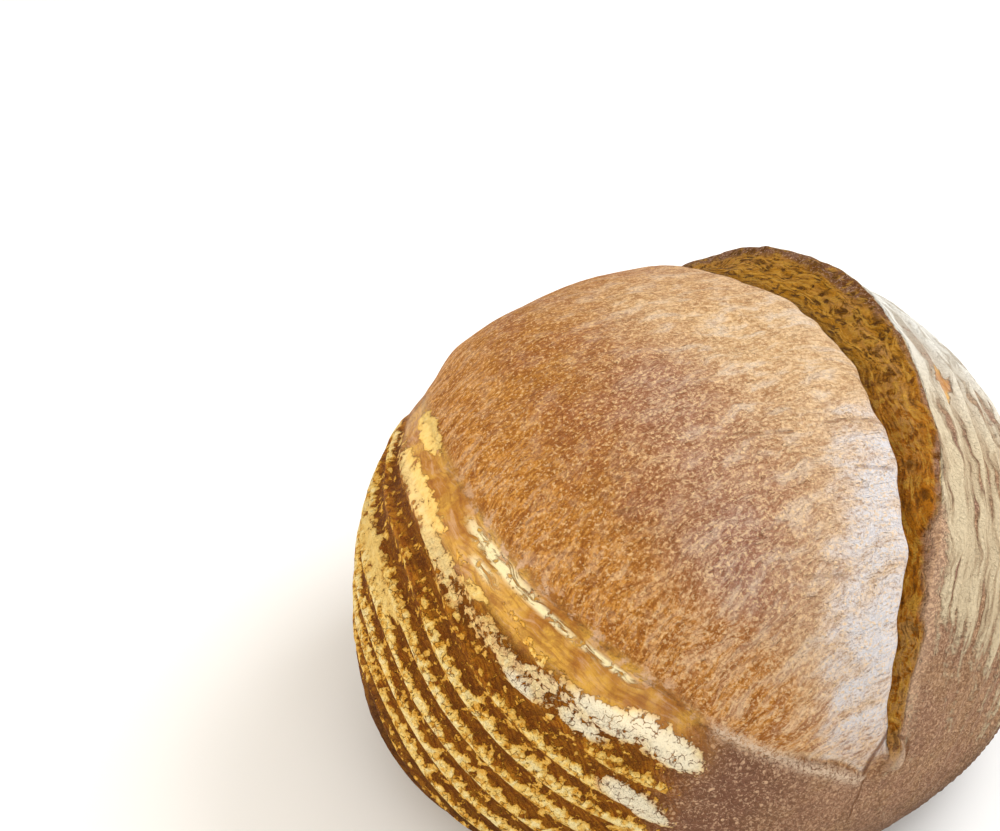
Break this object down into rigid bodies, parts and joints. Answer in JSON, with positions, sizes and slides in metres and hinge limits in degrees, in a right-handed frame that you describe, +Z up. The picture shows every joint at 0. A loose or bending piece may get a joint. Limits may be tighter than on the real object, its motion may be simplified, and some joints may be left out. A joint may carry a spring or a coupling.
{
  "type": "sourdough_loaf",
  "caption": "Round crusty sourdough loaf with a long curved score, a raised ear over a torn gap, a swollen bloom and floured basket rings, flat underneath.",
  "frame": {"origin": "middle of the flat base, on the surface the loaf rests on", "axes": "+Z up, -Y towards the viewer of the picture, +X to that viewer's right; the score runs from the front right to the back left"},
  "size_m": [0.2149, 0.2093, 0.1396],
  "materials": {
    "baked_crust": "matt baked crust"
  },
  "bodies": {
    "root": {"loaf": "baked_crust"}
  },
  "joints": []
}
